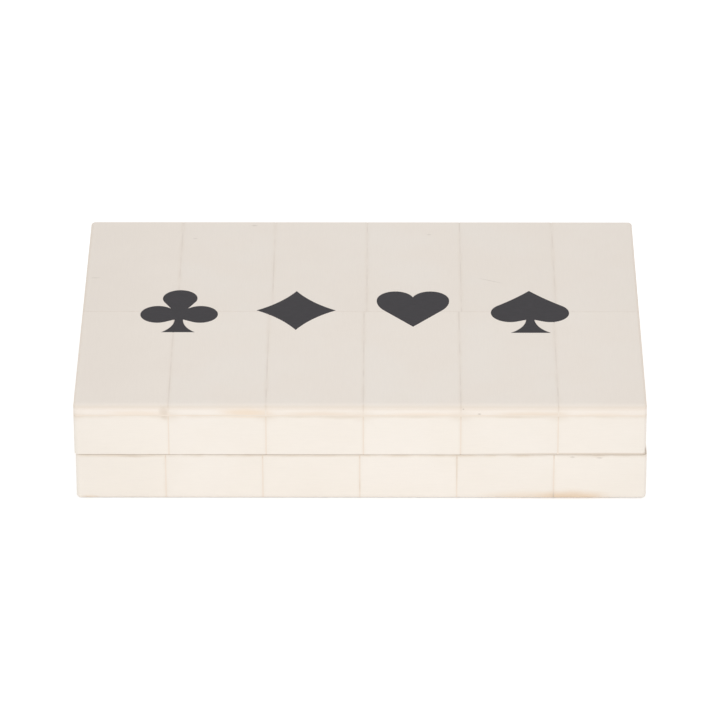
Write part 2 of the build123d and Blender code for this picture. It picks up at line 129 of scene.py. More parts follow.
def plug(tree, node, inputs):
    """Sets inputs of a node. An input takes a plain value or the output of another node."""
    for key, value in inputs.items():
        if isinstance(value, bpy.types.NodeSocket):
            tree.links.new(value, node.inputs[key])
        else:
            node.inputs[key].default_value = value


def add(tree, kind, inputs, **settings):
    """Adds one node with its settings and inputs."""
    node = tree.nodes.new("ShaderNode" + kind)
    for key, value in settings.items():
        setattr(node, key, value)
    plug(tree, node, inputs)
    return node


def maths(tree, operation, first, second=0.0):
    """One operation on one or two numbers."""
    return add(tree, "Math", {0: first, 1: second}, operation=operation).outputs[0]


def product(tree, first, *others):
    """Several numbers multiplied together."""
    for other in others:
        first = maths(tree, "MULTIPLY", first, other)
    return first


def fade(tree, value, span, results=(0.0, 1.0)):
    """A smooth step from the first result to the second as a value crosses a span."""
    limits = {"From Min": span[0], "From Max": span[1], "To Min": results[0], "To Max": results[1]}
    return add(tree, "MapRange", {"Value": value, **limits}, interpolation_type="SMOOTHSTEP").outputs[0]


def mix(tree, factor, first, second):
    """A colour between two colours."""
    return add(tree, "Mix", {0: factor, 6: first, 7: second}, data_type="RGBA").outputs[2]


def scaled_colour(tree, colour, factor):
    """A colour made lighter or darker by a factor that varies over the surface."""
    grey = add(tree, "CombineColor", {0: factor, 1: factor, 2: factor}).outputs[0]
    return add(tree, "Mix", {0: 1.0, 6: colour, 7: grey}, data_type="RGBA", blend_type="MULTIPLY").outputs[2]


def millimetres(tree):
    """The place on the surface, in millimetres, fixed to the piece."""
    place = add(tree, "TexCoord", {}).outputs["Object"]
    return add(tree, "VectorMath", {0: place, "Scale": 1 / MM}, operation="SCALE").outputs[0]


def coordinate(tree, place, axis):
    """One coordinate of a place."""
    return add(tree, "SeparateXYZ", {0: place}).outputs[AXES[axis]]


def cloud_noise(tree, place, size, detail=3.0, roughness=0.5):
    """Cloudy noise whose blots are about one size across, in millimetres."""
    inputs = {"Vector": place, "Scale": 1 / size, "Detail": detail, "Roughness": roughness}
    return add(tree, "TexNoise", inputs).outputs[0]


def grain_noise(tree, place, axis, width, stretch, detail, roughness=0.5):
    """Streaky noise: blots of one width, in millimetres, drawn out along one axis."""
    factors = [1.0, 1.0, 1.0]
    factors[AXES[axis]] = 1 / stretch
    drawn_out = add(tree, "VectorMath", {0: place, 1: factors}, operation="MULTIPLY").outputs[0]
    return cloud_noise(tree, drawn_out, width, detail, roughness)


def relief(tree, height, depth):
    """A surface normal from a height between 0 and 1, for a depth in millimetres."""
    return add(tree, "Bump", {"Height": height, "Distance": depth * MM, "Strength": 1.0}).outputs[0]


# Stains, and painted shade on the rounded edges, at the ends of the top and beside the rim


class StainOrShade(NamedTuple):
    """A stain or a patch of painted shade in the shape of an ellipsoid, in millimetres, turned about Z by
    some degrees.
    """

    centre: tuple
    reach: tuple
    strength: float
    colour: tuple
    turn: float = 0.0


# Where the painted shade along the rounded front edge lies
SHADED_FRONT_EDGE = (0.0, FRONT_Y + 0.15, TOP_Z - 0.95)
STRIP_Z = TOP_SLAB_Z + 0.4  # on the edge of the top slabs
UNDER_JOINT_Z = TOP_JOINT_Z - 0.2
OVER_RIM_Z = RIM_Z + 0.7
UNDER_RIM_Z = RIM_Z - 0.6
FOOT_Z = UNDERSIDE_Z + 0.4

# Painted shade along both ends of the top, where the rounded edges turn away from the light
TOP_END_PAINTED_SHADE = [
    StainOrShade((LEFT_X, 0.0, TOP_Z - 0.3), (1.3, 280.0, 1.6), 0.30, BONE_DIRT_AND_SHADE),
    StainOrShade((RIGHT_X, 0.0, TOP_Z - 0.3), (1.3, 280.0, 1.6), 0.35, BONE_DIRT_AND_SHADE),
]
# Painted shade along the rounded front edge, stains above the joint and two dark specks
TOP_FRONT_STAINS_AND_SHADE = TOP_END_PAINTED_SHADE + [
    # Painted shade along the rounded front edge
    StainOrShade(SHADED_FRONT_EDGE, (400.0, 1.9, 1.2), 0.32, BONE_DIRT_AND_SHADE),
    StainOrShade((-79.0, FRONT_Y, STRIP_Z), (14.0, 2.2, 2.0), 0.42, BONE_ROSE),
    StainOrShade((-69.7, FRONT_Y, STRIP_Z + 0.8), (2.4, 3.0, 3.0), 0.35, BONE_SMUDGE_AND_SHADE),
    StainOrShade((-40.5, FRONT_Y, STRIP_Z + 0.4), (12.0, 2.4, 2.6), 0.82, BONE_ROSE),
    StainOrShade((-14.0, FRONT_Y, TOP_SLAB_Z), (18.0, 2.0, 2.2), 0.32, BONE_TAN),
    StainOrShade((22.0, FRONT_Y, TOP_SLAB_Z), (18.0, 2.0, 1.6), 0.40, BONE_ROSE),
    StainOrShade((61.0, FRONT_Y, TOP_SLAB_Z), (17.0, 2.0, 2.2), 0.36, BONE_TAN),
    StainOrShade((86.0, FRONT_Y, TOP_SLAB_Z), (12.0, 2.0, 1.6), 0.28, BONE_ROSE),
    StainOrShade((36.4, FRONT_Y, STRIP_Z + 2.0), (0.5, 1.0, 0.4), 0.50, BONE_GREY),
    StainOrShade((42.1, FRONT_Y, STRIP_Z), (0.9, 1.0, 0.5), 0.50, BONE_GREY),
]
# Painted shade along both ends, small marks and one scratch on the top, and stains at the back
TOP_BACK_STAINS_AND_SHADE = TOP_END_PAINTED_SHADE + [
    StainOrShade((-62.3, 56.0, TOP_Z), (1.3, 0.6, 1.0), 0.25, BONE_GREY),
    StainOrShade((-40.4, 66.4, TOP_Z), (1.6, 0.9, 1.0), 0.28, BONE_GREY),
    StainOrShade((25.1, 59.2, TOP_Z), (1.2, 0.7, 1.0), 0.25, BONE_GREY),
    StainOrShade((-98.2, 25.1, TOP_Z), (2.6, 0.5, 1.0), 0.25, BONE_GREY),
    StainOrShade((47.4, 23.1, TOP_Z), (6.8, 0.35, 1.0), 0.30, BONE_GREY, turn=-24.0),
    StainOrShade((-24.0, BACK_Y, STRIP_Z), (16.0, 2.0, 2.0), 0.40, BONE_ROSE),
    StainOrShade((66.0, BACK_Y, STRIP_Z), (14.0, 2.0, 2.0), 0.40, BONE_ROSE),
]
# Stains under the joint, painted shade along the right of the rim, and a thin brown mark at its end
LID_FRONT_STAINS_AND_SHADE = [
    StainOrShade((-69.4, FRONT_Y, UNDER_JOINT_Z - 0.3), (1.8, 2.0, 1.5), 0.30, BONE_SMUDGE_AND_SHADE),
    StainOrShade((-41.0, FRONT_Y, UNDER_JOINT_Z), (11.0, 2.0, 0.9), 0.50, BONE_ROSE),
    StainOrShade((-8.0, FRONT_Y, UNDER_JOINT_Z - 0.1), (11.0, 2.0, 1.4), 0.38, BONE_DIRT_AND_SHADE),
    StainOrShade((-22.0, FRONT_Y, UNDER_JOINT_Z), (10.0, 2.0, 0.9), 0.25, BONE_DIRT_AND_SHADE),
    StainOrShade((18.0, FRONT_Y, UNDER_JOINT_Z - 0.1), (14.0, 2.0, 0.9), 0.25, BONE_DIRT_AND_SHADE),
    StainOrShade((57.0, FRONT_Y, UNDER_JOINT_Z - 0.1), (15.0, 2.0, 0.9), 0.28, BONE_DIRT_AND_SHADE),
    # Painted shade along the lid's lower edge, over the right of the rim
    StainOrShade((92.0, FRONT_Y, OVER_RIM_Z - 0.2), (60.0, 2.0, 0.75), 0.55, BONE_SMUDGE_AND_SHADE),
    StainOrShade((RIGHT_X, FRONT_Y + 0.6, OVER_RIM_Z + 0.7), (0.55, 2.5, 2.6), 1.0, BONE_BROWN),
]
LID_BACK_FLAWS = [
    StainOrShade((-57.0, BACK_Y, UNDER_JOINT_Z), (13.0, 2.0, 1.0), 0.35, BONE_DIRT_AND_SHADE),
    StainOrShade((14.0, BACK_Y, UNDER_JOINT_Z), (16.0, 2.0, 0.9), 0.28, BONE_DIRT_AND_SHADE),
    StainOrShade((76.0, BACK_Y, OVER_RIM_Z), (7.0, 2.0, 0.9), 0.35, BONE_SMUDGE_AND_SHADE),
]
LID_SIDE_FLAWS = [
    StainOrShade((LEFT_X, 24.0, UNDER_JOINT_Z), (2.0, 12.0, 1.0), 0.32, BONE_DIRT_AND_SHADE),
    StainOrShade((LEFT_X, -38.0, OVER_RIM_Z), (2.0, 6.0, 0.9), 0.30, BONE_SMUDGE_AND_SHADE),
    StainOrShade((RIGHT_X, -30.0, UNDER_JOINT_Z), (2.0, 14.0, 1.0), 0.32, BONE_DIRT_AND_SHADE),
]
# Smudges and specks under the rim, painted shade just under the rim on the left, and tan stains at the foot,
# in front and behind
BASE_STAINS_AND_SHADE = [
    StainOrShade((-80.5, FRONT_Y, UNDER_RIM_Z + 0.1), (7.5, 2.0, 0.9), 0.45, BONE_SMUDGE_AND_SHADE),
    # Painted shade just under the rim
    StainOrShade((-24.0, FRONT_Y, UNDER_RIM_Z + 0.45), (42.0, 2.0, 0.8), 0.25, BONE_SMUDGE_AND_SHADE),
    StainOrShade((75.4, FRONT_Y, UNDER_RIM_Z - 0.2), (1.3, 2.0, 0.6), 0.35, BONE_GREY),
    StainOrShade((85.0, FRONT_Y, UNDER_RIM_Z - 0.5), (1.6, 2.0, 0.5), 0.35, BONE_GREY),
    StainOrShade((76.0, FRONT_Y, FOOT_Z), (17.0, 2.5, 4.3), 0.76, BONE_TAN),
    StainOrShade((60.0, FRONT_Y, FOOT_Z), (22.0, 2.5, 4.0), 0.36, BONE_TAN),
    StainOrShade((-96.5, FRONT_Y, FOOT_Z + 0.2), (4.5, 2.0, 1.2), 0.35, BONE_TAN),
    StainOrShade((-62.0, BACK_Y, FOOT_Z), (17.0, 2.5, 2.8), 0.55, BONE_TAN),
    StainOrShade((36.0, BACK_Y, UNDER_RIM_Z), (8.0, 2.0, 0.9), 0.40, BONE_SMUDGE_AND_SHADE),
]
BASE_SIDE_FLAWS = [
    StainOrShade((LEFT_X, -44.0, FOOT_Z), (2.5, 15.0, 2.8), 0.55, BONE_TAN),
    StainOrShade((RIGHT_X, 38.0, FOOT_Z), (2.5, 17.0, 3.0), 0.55, BONE_TAN),
    StainOrShade((RIGHT_X, -50.0, UNDER_RIM_Z), (2.0, 7.0, 0.9), 0.40, BONE_SMUDGE_AND_SHADE),
]
# Painted shade on the resin along the front edge, two darker seams of the base, and a brown foot in its tan
# stain
RESIN_STAINS_AND_SHADE = [
    # Painted shade along the rounded front edge
    StainOrShade(SHADED_FRONT_EDGE, (400.0, 2.2, 1.8), 0.42, BONE_DIRT_AND_SHADE),
    StainOrShade((BASE_SEAM_X, FRONT_Y, UNDERSIDE_Z + 5.0), (4.0, 2.5, 3.5), 0.22, BONE_SMUDGE_AND_SHADE),
    StainOrShade((BASE_SEAM_X + SLAB_WIDTH, FRONT_Y, RIM_Z - 6.0), (4.0, 2.5, 9.0), 0.22, BONE_SMUDGE_AND_SHADE),
    StainOrShade((BASE_SEAM_X + 2 * SLAB_WIDTH, FRONT_Y, UNDERSIDE_Z), (4.0, 2.5, 4.2), 0.70, BONE_SMUDGE_AND_SHADE),
]

# Lengths inside a stain or a patch of painted shade are shares of its reach
RAGGED_SIZE = 0.7
RAGGED_AMOUNT = 0.6
STAIN_OR_SHADE_EDGE_SPAN = (1.3, 0.45)


def stain_or_shade_mask(tree, place, stain_or_shade):
    """1 in the middle of a stain or a patch of painted shade and 0 at its edge, with a ragged outline."""
    rotation = (0, 0, math.radians(stain_or_shade.turn))
    inputs = {"Vector": place, "Location": stain_or_shade.centre, "Rotation": rotation, "Scale": stain_or_shade.reach}
    local = add(tree, "Mapping", inputs, vector_type="TEXTURE").outputs[0]
    distance = add(tree, "VectorMath", {0: local}, operation="LENGTH").outputs["Value"]
    ragged = product(tree, cloud_noise(tree, local, RAGGED_SIZE), RAGGED_AMOUNT)
    return fade(tree, maths(tree, "ADD", distance, ragged), STAIN_OR_SHADE_EDGE_SPAN)


def with_stains_and_shade(tree, place, colour, stains_and_shade):
    """A colour with the stains and the painted shade laid over it."""
    for stain_or_shade in stains_and_shade:
        share = product(tree, stain_or_shade_mask(tree, place, stain_or_shade), stain_or_shade.strength)
        colour = mix(tree, share, colour, stain_or_shade.colour)
    return colour


# Dirt, and painted shade beside the rim where the lid meets the base. Strengths are the share of the
# dirt-and-shade colour, and lengths are in millimetres.

TOP_DIRT = [(TOP_JOINT_Z, 0.30)]  # levels and their strengths
# Painted shade beside the rim on the lid's lower edge, and dirt along the joint under the top
LID_DIRT_AND_SHADE = [(RIM_Z, 0.12), (TOP_JOINT_Z, 0.33)]
# A little darker along the foot, and painted shade under the rim
BASE_DIRT_AND_SHADE = [(UNDERSIDE_Z, 0.05), (RIM_Z, 0.68)]
# Painted shade in the seams under the rim
RESIN_RIM_SHADE = [(UNDER_RIM_Z, 0.55)]
LEVEL_DIRT_AND_SHADE_SPAN = (1.4, 0.0)  # from a level
SEAM_DIRT_SPAN = (1.3, 0.2)  # from the middle of a seam
SEAM_DIRT = 0.16
PATCH_SIZE = 9.0
PATCH_SPREAD = (0.35, 0.7)
PATCH_SHARES = (0.25, 1.0)
CROSSING_SEAM_SPAN = (6.0, 0.0)  # from a seam that meets the joint under the top
CROSSING_JOINT_SPAN = (3.5, 0.0)  # from that joint
CROSSING_DIRT = 0.24
RESIN_JOINT_SPAN = (2.2, 0.4)  # below that joint, in the seams
RESIN_CLEAN_SPAN = (0.0, 0.3)  # where the joint's own resin stays clean
RESIN_JOINT_DIRT = 0.45


def level_distance(tree, place, level):
    """How far a place lies above or below a level."""
    return maths(tree, "ABSOLUTE", maths(tree, "SUBTRACT", coordinate(tree, place, "Z"), level))


def level_dirt_and_shade(tree, place, levels):
    """Darkening along levels, dirt at the joints and painted shade beside the rim: nothing away from a
    level, rising to that level's own strength beside it.
    """
    dirt = 0.0
    for level, strength in levels:
        beside = fade(tree, level_distance(tree, place, level), LEVEL_DIRT_AND_SHADE_SPAN, (0.0, strength))
        dirt = maths(tree, "MAXIMUM", dirt, beside)
    return dirt


def crossing_dirt(tree, place, seam_distance):
    """Dirt where the seams meet the joint under the top slabs."""
    joint_distance = level_distance(tree, place, TOP_JOINT_Z)
    near_joint = fade(tree, joint_distance, CROSSING_JOINT_SPAN, (0.0, CROSSING_DIRT))
    return product(tree, fade(tree, seam_distance, CROSSING_SEAM_SPAN), near_joint)


def bone_dirt_and_shade(tree, place, seam_distance, levels):
    """Dirt in patches along the seams and the levels, with painted shade in patches beside the rim, and dirt
    where the seams meet the joint.
    """
    beside_seam = fade(tree, seam_distance, SEAM_DIRT_SPAN, (0.0, SEAM_DIRT))
    lines = maths(tree, "MAXIMUM", beside_seam, level_dirt_and_shade(tree, place, levels))
    patches = fade(tree, cloud_noise(tree, place, PATCH_SIZE), PATCH_SPREAD, PATCH_SHARES)
    return maths(tree, "ADD", product(tree, lines, patches), crossing_dirt(tree, place, seam_distance))


def under_joint_dirt(tree, place):
    """Dirt in the seams just below the joint under the top slabs."""
    depth = maths(tree, "SUBTRACT", TOP_JOINT_Z, coordinate(tree, place, "Z"))
    dirt = fade(tree, depth, RESIN_JOINT_SPAN, (0.0, RESIN_JOINT_DIRT))
    return product(tree, dirt, fade(tree, depth, RESIN_CLEAN_SPAN))


# Bone

WALL_TONE = 1.0
# Painted light and shade on the top: its front row a little lighter and its back row a little darker, as the
# light falls off towards the back
TOP_FRONT_PAINTED_LIGHT = 1.005
TOP_BACK_PAINTED_SHADE = 0.99
SLAB_TONES = (0.993, 1.005)  # of the darkest and the lightest slab in a row
HUE_SEED = 40.5
END_SHADE_SPAN = (50.0, 105.0)  # from the middle of the box, where painted shade darkens the bone towards its ends
END_SHADE_TONE = 0.975
CLOUD_SIZE = 24.0
CLOUD_TONES = (0.988, 1.010)
COOL_SPREAD = (0.35, 0.65)
COOL_SHARES = (0.1, 0.6)
CANALS = {"width": 0.45, "stretch": 14.0, "detail": 4.0, "roughness": 0.65}
CANAL_SPREAD = (0.35, 0.7)
CANAL_TONES = (1.004, 0.991)
FLECKS = {"width": 0.30, "stretch": 5.0, "detail": 2.0}
FLECK_SPREAD = (0.68, 0.78)
FLECK_TONE = 0.95
BONE_ROUGHNESS = (0.40, 0.50)
BONE_SPECULAR = 0.35
BONE_RELIEF = 0.008
CLOUD_RELIEF = 2.0  # times the relief of the canals


def slab_chance(tree, number, seed=0.0):
    """A random share from 0 to 1 for each slab of a row."""
    place = maths(tree, "ADD", number, seed)
    return add(tree, "TexWhiteNoise", {"W": place}, noise_dimensions="1D").outputs["Value"]


def bone(name, base_colour, row_tone, grain_axis, seam_axis, seam_place, dirt_and_shade_levels, stains_and_shade):
    """Polished bone slabs of one row: a tone for each slab, painted shade towards the ends, clouds, fine
    canals, dirt and painted shade beside the rim, and stains and painted shade on the edges.
    """
    material, tree, shader = new_material(name)
    place = millimetres(tree)
    across = maths(tree, "SUBTRACT", coordinate(tree, place, seam_axis), seam_place)
    number = maths(tree, "FLOOR", maths(tree, "DIVIDE", across, SLAB_WIDTH))
    seam_distance = maths(tree, "PINGPONG", across, SLAB_WIDTH / 2)
    from_middle = maths(tree, "ABSOLUTE", coordinate(tree, place, "X"))
    clouds = cloud_noise(tree, place, CLOUD_SIZE)
    canals = grain_noise(tree, place, grain_axis, **CANALS)
    flecks = grain_noise(tree, place, grain_axis, **FLECKS)

    tone = product(
        tree,
        row_tone,
        fade(tree, slab_chance(tree, number), (0.0, 1.0), SLAB_TONES),
        # Painted shade towards both ends of the box
        fade(tree, from_middle, END_SHADE_SPAN, (1.0, END_SHADE_TONE)),
        fade(tree, clouds, NOISE_SPREAD, CLOUD_TONES),
        fade(tree, canals, CANAL_SPREAD, CANAL_TONES),
        fade(tree, flecks, FLECK_SPREAD, (1.0, FLECK_TONE)),
    )
    cool_clouds = fade(tree, clouds, COOL_SPREAD, COOL_SHARES)
    coolness = product(tree, cool_clouds, slab_chance(tree, number, HUE_SEED))
    colour = scaled_colour(tree, mix(tree, coolness, base_colour, BONE_COOL), tone)
    # Dirt, with painted shade beside the rim
    colour = mix(tree, bone_dirt_and_shade(tree, place, seam_distance, dirt_and_shade_levels), colour, BONE_DIRT_AND_SHADE)
    height = maths(tree, "ADD", canals, product(tree, clouds, CLOUD_RELIEF))
    plug(tree, shader, {
        "Base Color": with_stains_and_shade(tree, place, colour, stains_and_shade),
        "Roughness": fade(tree, clouds, NOISE_SPREAD, BONE_ROUGHNESS),
        "Specular IOR Level": BONE_SPECULAR,
        "Normal": relief(tree, height, BONE_RELIEF),
    })
    return material


def top_bone(row, tone, seam_place, stains_and_shade):
    """Bone of one row on the lid's top, with its grain from front to back."""
    return bone(f"bone_top_{row}", BONE_TOP, tone, "Y", "X", seam_place, TOP_DIRT, stains_and_shade)


def wall_bone(wall, axis, seam_place, dirt_and_shade_levels, stains_and_shade):
    """Bone of a wall along one axis, with its grain along the wall."""
    return bone(f"bone_{wall}", BONE_WALL, WALL_TONE, axis, axis, seam_place, dirt_and_shade_levels, stains_and_shade)


# Resin in the seams

RESIN_BLOT_SIZE = 7.0
RESIN_WARM_SPAN = (TOP_Z - 1.0, TOP_JOINT_Z)  # heights over which the resin turns warmer
RESIN_WARMTH = 0.8
RESIN_ROUGHNESS = (0.55, 0.7)
RESIN_GRAIN_SIZE = 0.4
RESIN_RELIEF = 0.008


def seam_resin():
    """Tan filler in the seams, lighter and darker along its length, with dirt, painted shade under the rim
    and along the front edge, and stains.
    """
    material, tree, shader = new_material("seam_resin")
    place = millimetres(tree)
    blots = cloud_noise(tree, place, RESIN_BLOT_SIZE, detail=2.0)
    warmth = fade(tree, coordinate(tree, place, "Z"), RESIN_WARM_SPAN, (0.0, RESIN_WARMTH))
    colour = mix(tree, fade(tree, blots, NOISE_SPREAD), RESIN_LIGHT, RESIN_DARK)
    colour = mix(tree, warmth, colour, RESIN_WARM)
    # Painted shade in the seams under the rim
    colour = mix(tree, level_dirt_and_shade(tree, place, RESIN_RIM_SHADE), colour, BONE_DIRT_AND_SHADE)
    colour = mix(tree, under_joint_dirt(tree, place), colour, BONE_DIRT_AND_SHADE)
    plug(tree, shader, {
        "Base Color": with_stains_and_shade(tree, place, colour, RESIN_STAINS_AND_SHADE),
        "Roughness": fade(tree, blots, NOISE_SPREAD, RESIN_ROUGHNESS),
        "Normal": relief(tree, cloud_noise(tree, place, RESIN_GRAIN_SIZE), RESIN_RELIEF),
    })
    return material


# Suit inlays

INLAY_CLOUDS = {"size": 3.5, "detail": 5.0, "roughness": 0.6}
INLAY_CLOUD_SPREAD = (0.3, 0.75)
POLISHING_LINES = {"width": 0.35, "stretch": 12.0, "detail": 3.0}
POLISHING_TONES = (0.94, 1.06)
INLAY_ROUGHNESS = (0.54, 0.66)
INLAY_SPECULAR = 0.15
INLAY_RELIEF = 0.010


def suit_inlay():
    """Charcoal inlay: cloudy, with faint polishing lines along the lid."""
    material, tree, shader = new_material("suit_inlay")
    place = millimetres(tree)
    clouds = cloud_noise(tree, place, **INLAY_CLOUDS)
    lines = grain_noise(tree, place, "X", **POLISHING_LINES)
    colour = mix(tree, fade(tree, clouds, INLAY_CLOUD_SPREAD), INLAY, INLAY_LIGHT)
    plug(tree, shader, {
        "Base Color": scaled_colour(tree, colour, fade(tree, lines, NOISE_SPREAD, POLISHING_TONES)),
        "Roughness": fade(tree, clouds, NOISE_SPREAD, INLAY_ROUGHNESS),
        "Specular IOR Level": INLAY_SPECULAR,
        "Normal": relief(tree, lines, INLAY_RELIEF),
    })
    return material


# Wood

WOOD_BANDS = {"width": 9.0, "stretch": 18.0, "detail": 4.0, "roughness": 0.55}
RING_PHASE = 46.0  # radians over the whole range of the bands
RING_SPREAD = (-1.0, 1.0)
WOOD_FIBRES = {"width": 0.7, "stretch": 30.0, "detail": 4.0, "roughness": 0.6}
FIBRE_TONES = (0.82, 1.15)
WOOD_PORES = {"width": 0.42, "stretch": 11.0, "detail": 2.0}
PORE_SPREAD = (0.62, 0.72)
PORE_SHARE = 0.75
PORE_SLOPE = (0.55, 0.75)
PORE_DEPTH = 0.05
WOOD_ROUGHNESS = (0.42, 0.58)


def wood(name, grain_axis):
    """Stained wood: bands of growth, and short dark pores along the grain."""
    material, tree, shader = new_material(name)
    place = millimetres(tree)
    bands = grain_noise(tree, place, grain_axis, **WOOD_BANDS)
    rings = maths(tree, "SINE", product(tree, bands, RING_PHASE))
    fibres = grain_noise(tree, place, grain_axis, **WOOD_FIBRES)
    pores = grain_noise(tree, place, grain_axis, **WOOD_PORES)
    colour = mix(tree, fade(tree, rings, RING_SPREAD), WOOD_LIGHT, WOOD_DARK)
    colour = scaled_colour(tree, colour, fade(tree, fibres, NOISE_SPREAD, FIBRE_TONES))
    plug(tree, shader, {
        "Base Color": mix(tree, fade(tree, pores, PORE_SPREAD, (0.0, PORE_SHARE)), colour, WOOD_PORE),
        "Roughness": fade(tree, fibres, NOISE_SPREAD, WOOD_ROUGHNESS),
        "Normal": relief(tree, fade(tree, pores, PORE_SLOPE, (1.0, 0.0)), PORE_DEPTH),
    })
    return material


# Felt

FIBRE_BEND_SIZE = 1.8
FELT_FIBRES = {"width": 0.30, "stretch": 4.0, "detail": 4.0, "roughness": 0.65}
FELT_FIBRE_SPREAD = (0.42, 0.72)
NAP_SIZE = 11.0
NAP_SHARES = (0.55, 1.0)
LINT_SIZE = 0.7
LINT_SPREAD = (0.70, 0.76)
LINT_SHARE = 0.5
FELT_ROUGHNESS = 0.95
FELT_SPECULAR = 0.15
FELT_SHEEN = 0.35
FELT_SHEEN_ROUGHNESS = 0.5
FELT_RELIEF = 0.35


def felt():
    """Short charcoal felt: matted fibres, lighter where they stand up, and specks of lint."""
    material, tree, shader = new_material("felt")
    place = millimetres(tree)
    bend = add(tree, "TexNoise", {"Vector": place, "Scale": 1 / FIBRE_BEND_SIZE}).outputs["Color"]
    bent_place = add(tree, "VectorMath", {0: place, 1: bend}, operation="ADD").outputs[0]
    along = grain_noise(tree, bent_place, "X", **FELT_FIBRES)
    across = grain_noise(tree, bent_place, "Y", **FELT_FIBRES)
    fibres = maths(tree, "MAXIMUM", along, across)
    nap = fade(tree, cloud_noise(tree, place, NAP_SIZE), NOISE_SPREAD, NAP_SHARES)
    matted = product(tree, fade(tree, fibres, FELT_FIBRE_SPREAD), nap)
    lint = fade(tree, cloud_noise(tree, bent_place, LINT_SIZE, detail=2.0), LINT_SPREAD, (0.0, LINT_SHARE))
    plug(tree, shader, {
        "Base Color": mix(tree, lint, mix(tree, matted, FELT, FELT_LIGHT), FELT_LINT),
        "Roughness": FELT_ROUGHNESS,
        "Specular IOR Level": FELT_SPECULAR,
        "Sheen Weight": FELT_SHEEN,
        "Sheen Roughness": FELT_SHEEN_ROUGHNESS,
        "Normal": relief(tree, fibres, FELT_RELIEF),
    })
    return material


# Brass

TARNISH = {"size": 5.0, "detail": 4.0, "roughness": 0.55}
TARNISH_SPREAD = (0.45, 0.75)
TARNISH_SHARE = 0.7
DULL_SPREAD = (0.4, 0.7)
BRASS_ROUGHNESS = (0.24, 0.36)
DRAWING_LINES = {"width": 0.14, "stretch": 20.0, "detail": 2.0}
LINE_ROUGHNESS = 0.08
BRASS_RELIEF = 0.006


def brass(name, bright, dull):
    """Brass, bright with dull patches and fine drawing lines along the hinge."""
    material, tree, shader = new_material(name)
    place = millimetres(tree)
    tarnish = cloud_noise(tree, place, **TARNISH)
    lines = grain_noise(tree, place, "X", **DRAWING_LINES)
    dullness = fade(tree, tarnish, DULL_SPREAD, BRASS_ROUGHNESS)
    plug(tree, shader, {
        "Base Color": mix(tree, fade(tree, tarnish, TARNISH_SPREAD, (0.0, TARNISH_SHARE)), bright, dull),
        "Metallic": 1.0,
        "Roughness": maths(tree, "ADD", dullness, fade(tree, lines, NOISE_SPREAD, (0.0, LINE_ROUGHNESS))),
        "Normal": relief(tree, lines, BRASS_RELIEF),
    })
    return material


# Materials on the solids


def paint(material, *nodes):
    """Gives a material to solids by name."""
    for node in nodes:
        for material_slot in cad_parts[node].material_slots:
            material_slot.material = material


def top_row(row):
    """The names of the slabs in one row of the lid's top."""
    return [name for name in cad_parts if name.startswith(f"lid_top_{row}_slab_")]


paint(top_bone("front", TOP_FRONT_PAINTED_LIGHT, TOP_FRONT_SEAM_X, TOP_FRONT_STAINS_AND_SHADE), *top_row("front"))
paint(top_bone("back", TOP_BACK_PAINTED_SHADE, TOP_BACK_SEAM_X, TOP_BACK_STAINS_AND_SHADE), *top_row("back"))
paint(wall_bone("lid_front", "X", TOP_FRONT_SEAM_X, LID_DIRT_AND_SHADE, LID_FRONT_STAINS_AND_SHADE), "lid_front_slabs")
paint(wall_bone("lid_back", "X", TOP_BACK_SEAM_X, LID_DIRT_AND_SHADE, LID_BACK_FLAWS), "lid_back_slabs")
lid_sides = wall_bone("lid_sides", "Y", LID_SIDE_SEAM_Y, LID_DIRT_AND_SHADE, LID_SIDE_FLAWS)
paint(lid_sides, "lid_left_slabs", "lid_right_slabs")
base_long = wall_bone("base_long", "X", BASE_SEAM_X, BASE_DIRT_AND_SHADE, BASE_STAINS_AND_SHADE)
paint(base_long, "base_front_slabs", "base_back_slabs")
base_sides = wall_bone("base_sides", "Y", BASE_SIDE_SEAM_Y, BASE_DIRT_AND_SHADE, BASE_SIDE_FLAWS)
paint(base_sides, "base_left_slabs", "base_right_slabs")
paint(seam_resin(), "lid_seam_resin", "base_seam_resin")
paint(suit_inlay(), "club_inlay", "diamond_inlay", "heart_inlay", "spade_inlay")

long_wood = wood("wood_along", "X")
side_wood = wood("wood_across", "Y")
for unit in ("base", "lid"):
    paint(long_wood, f"{unit}_front_wall", f"{unit}_back_wall")
    paint(side_wood, f"{unit}_left_wall", f"{unit}_right_wall")
paint(long_wood, "base_floor", "lid_panel")
paint(side_wood, "left_divider", "right_divider")

hinge_brass = brass("brass", BRASS, BRASS_DULL)
for hand in ("left", "right"):
    paint(hinge_brass, f"{hand}_hinge_lower_leaf", f"{hand}_hinge_upper_leaf", f"{hand}_hinge_pin")
paint(brass("brass_screws", SCREW_BRASS, SCREW_BRASS_DULL), "base_hinge_screws", "lid_hinge_screws")

# Felt sheets, in place of the plain solids

FELT_STEP = 2.0 * MM
FELT_ROUND = 0.35 * MM
FELT_WAVE = 0.10 * MM
FELT_WAVE_SIZE = 14.0 * MM
FELT_EDGE_STEPS = 4
FACING_UP = 1
FACING_DOWN = -1


def felt_places(low, high):
    """Places across a sheet, close together in the rounded strips at both ends."""
    quarter_turn = math.pi / 2
    near = [FELT_ROUND * (1 - math.cos(quarter_turn * i / FELT_EDGE_STEPS)) for i in range(FELT_EDGE_STEPS)]
    count = round((high - low) / FELT_STEP)
    inner_low = low + FELT_ROUND
    inner_step = (high - low - 2 * FELT_ROUND) / count
    inner = [inner_low + inner_step * i for i in range(count + 1)]
    return [low + d for d in near] + inner + [high - d for d in reversed(near)]


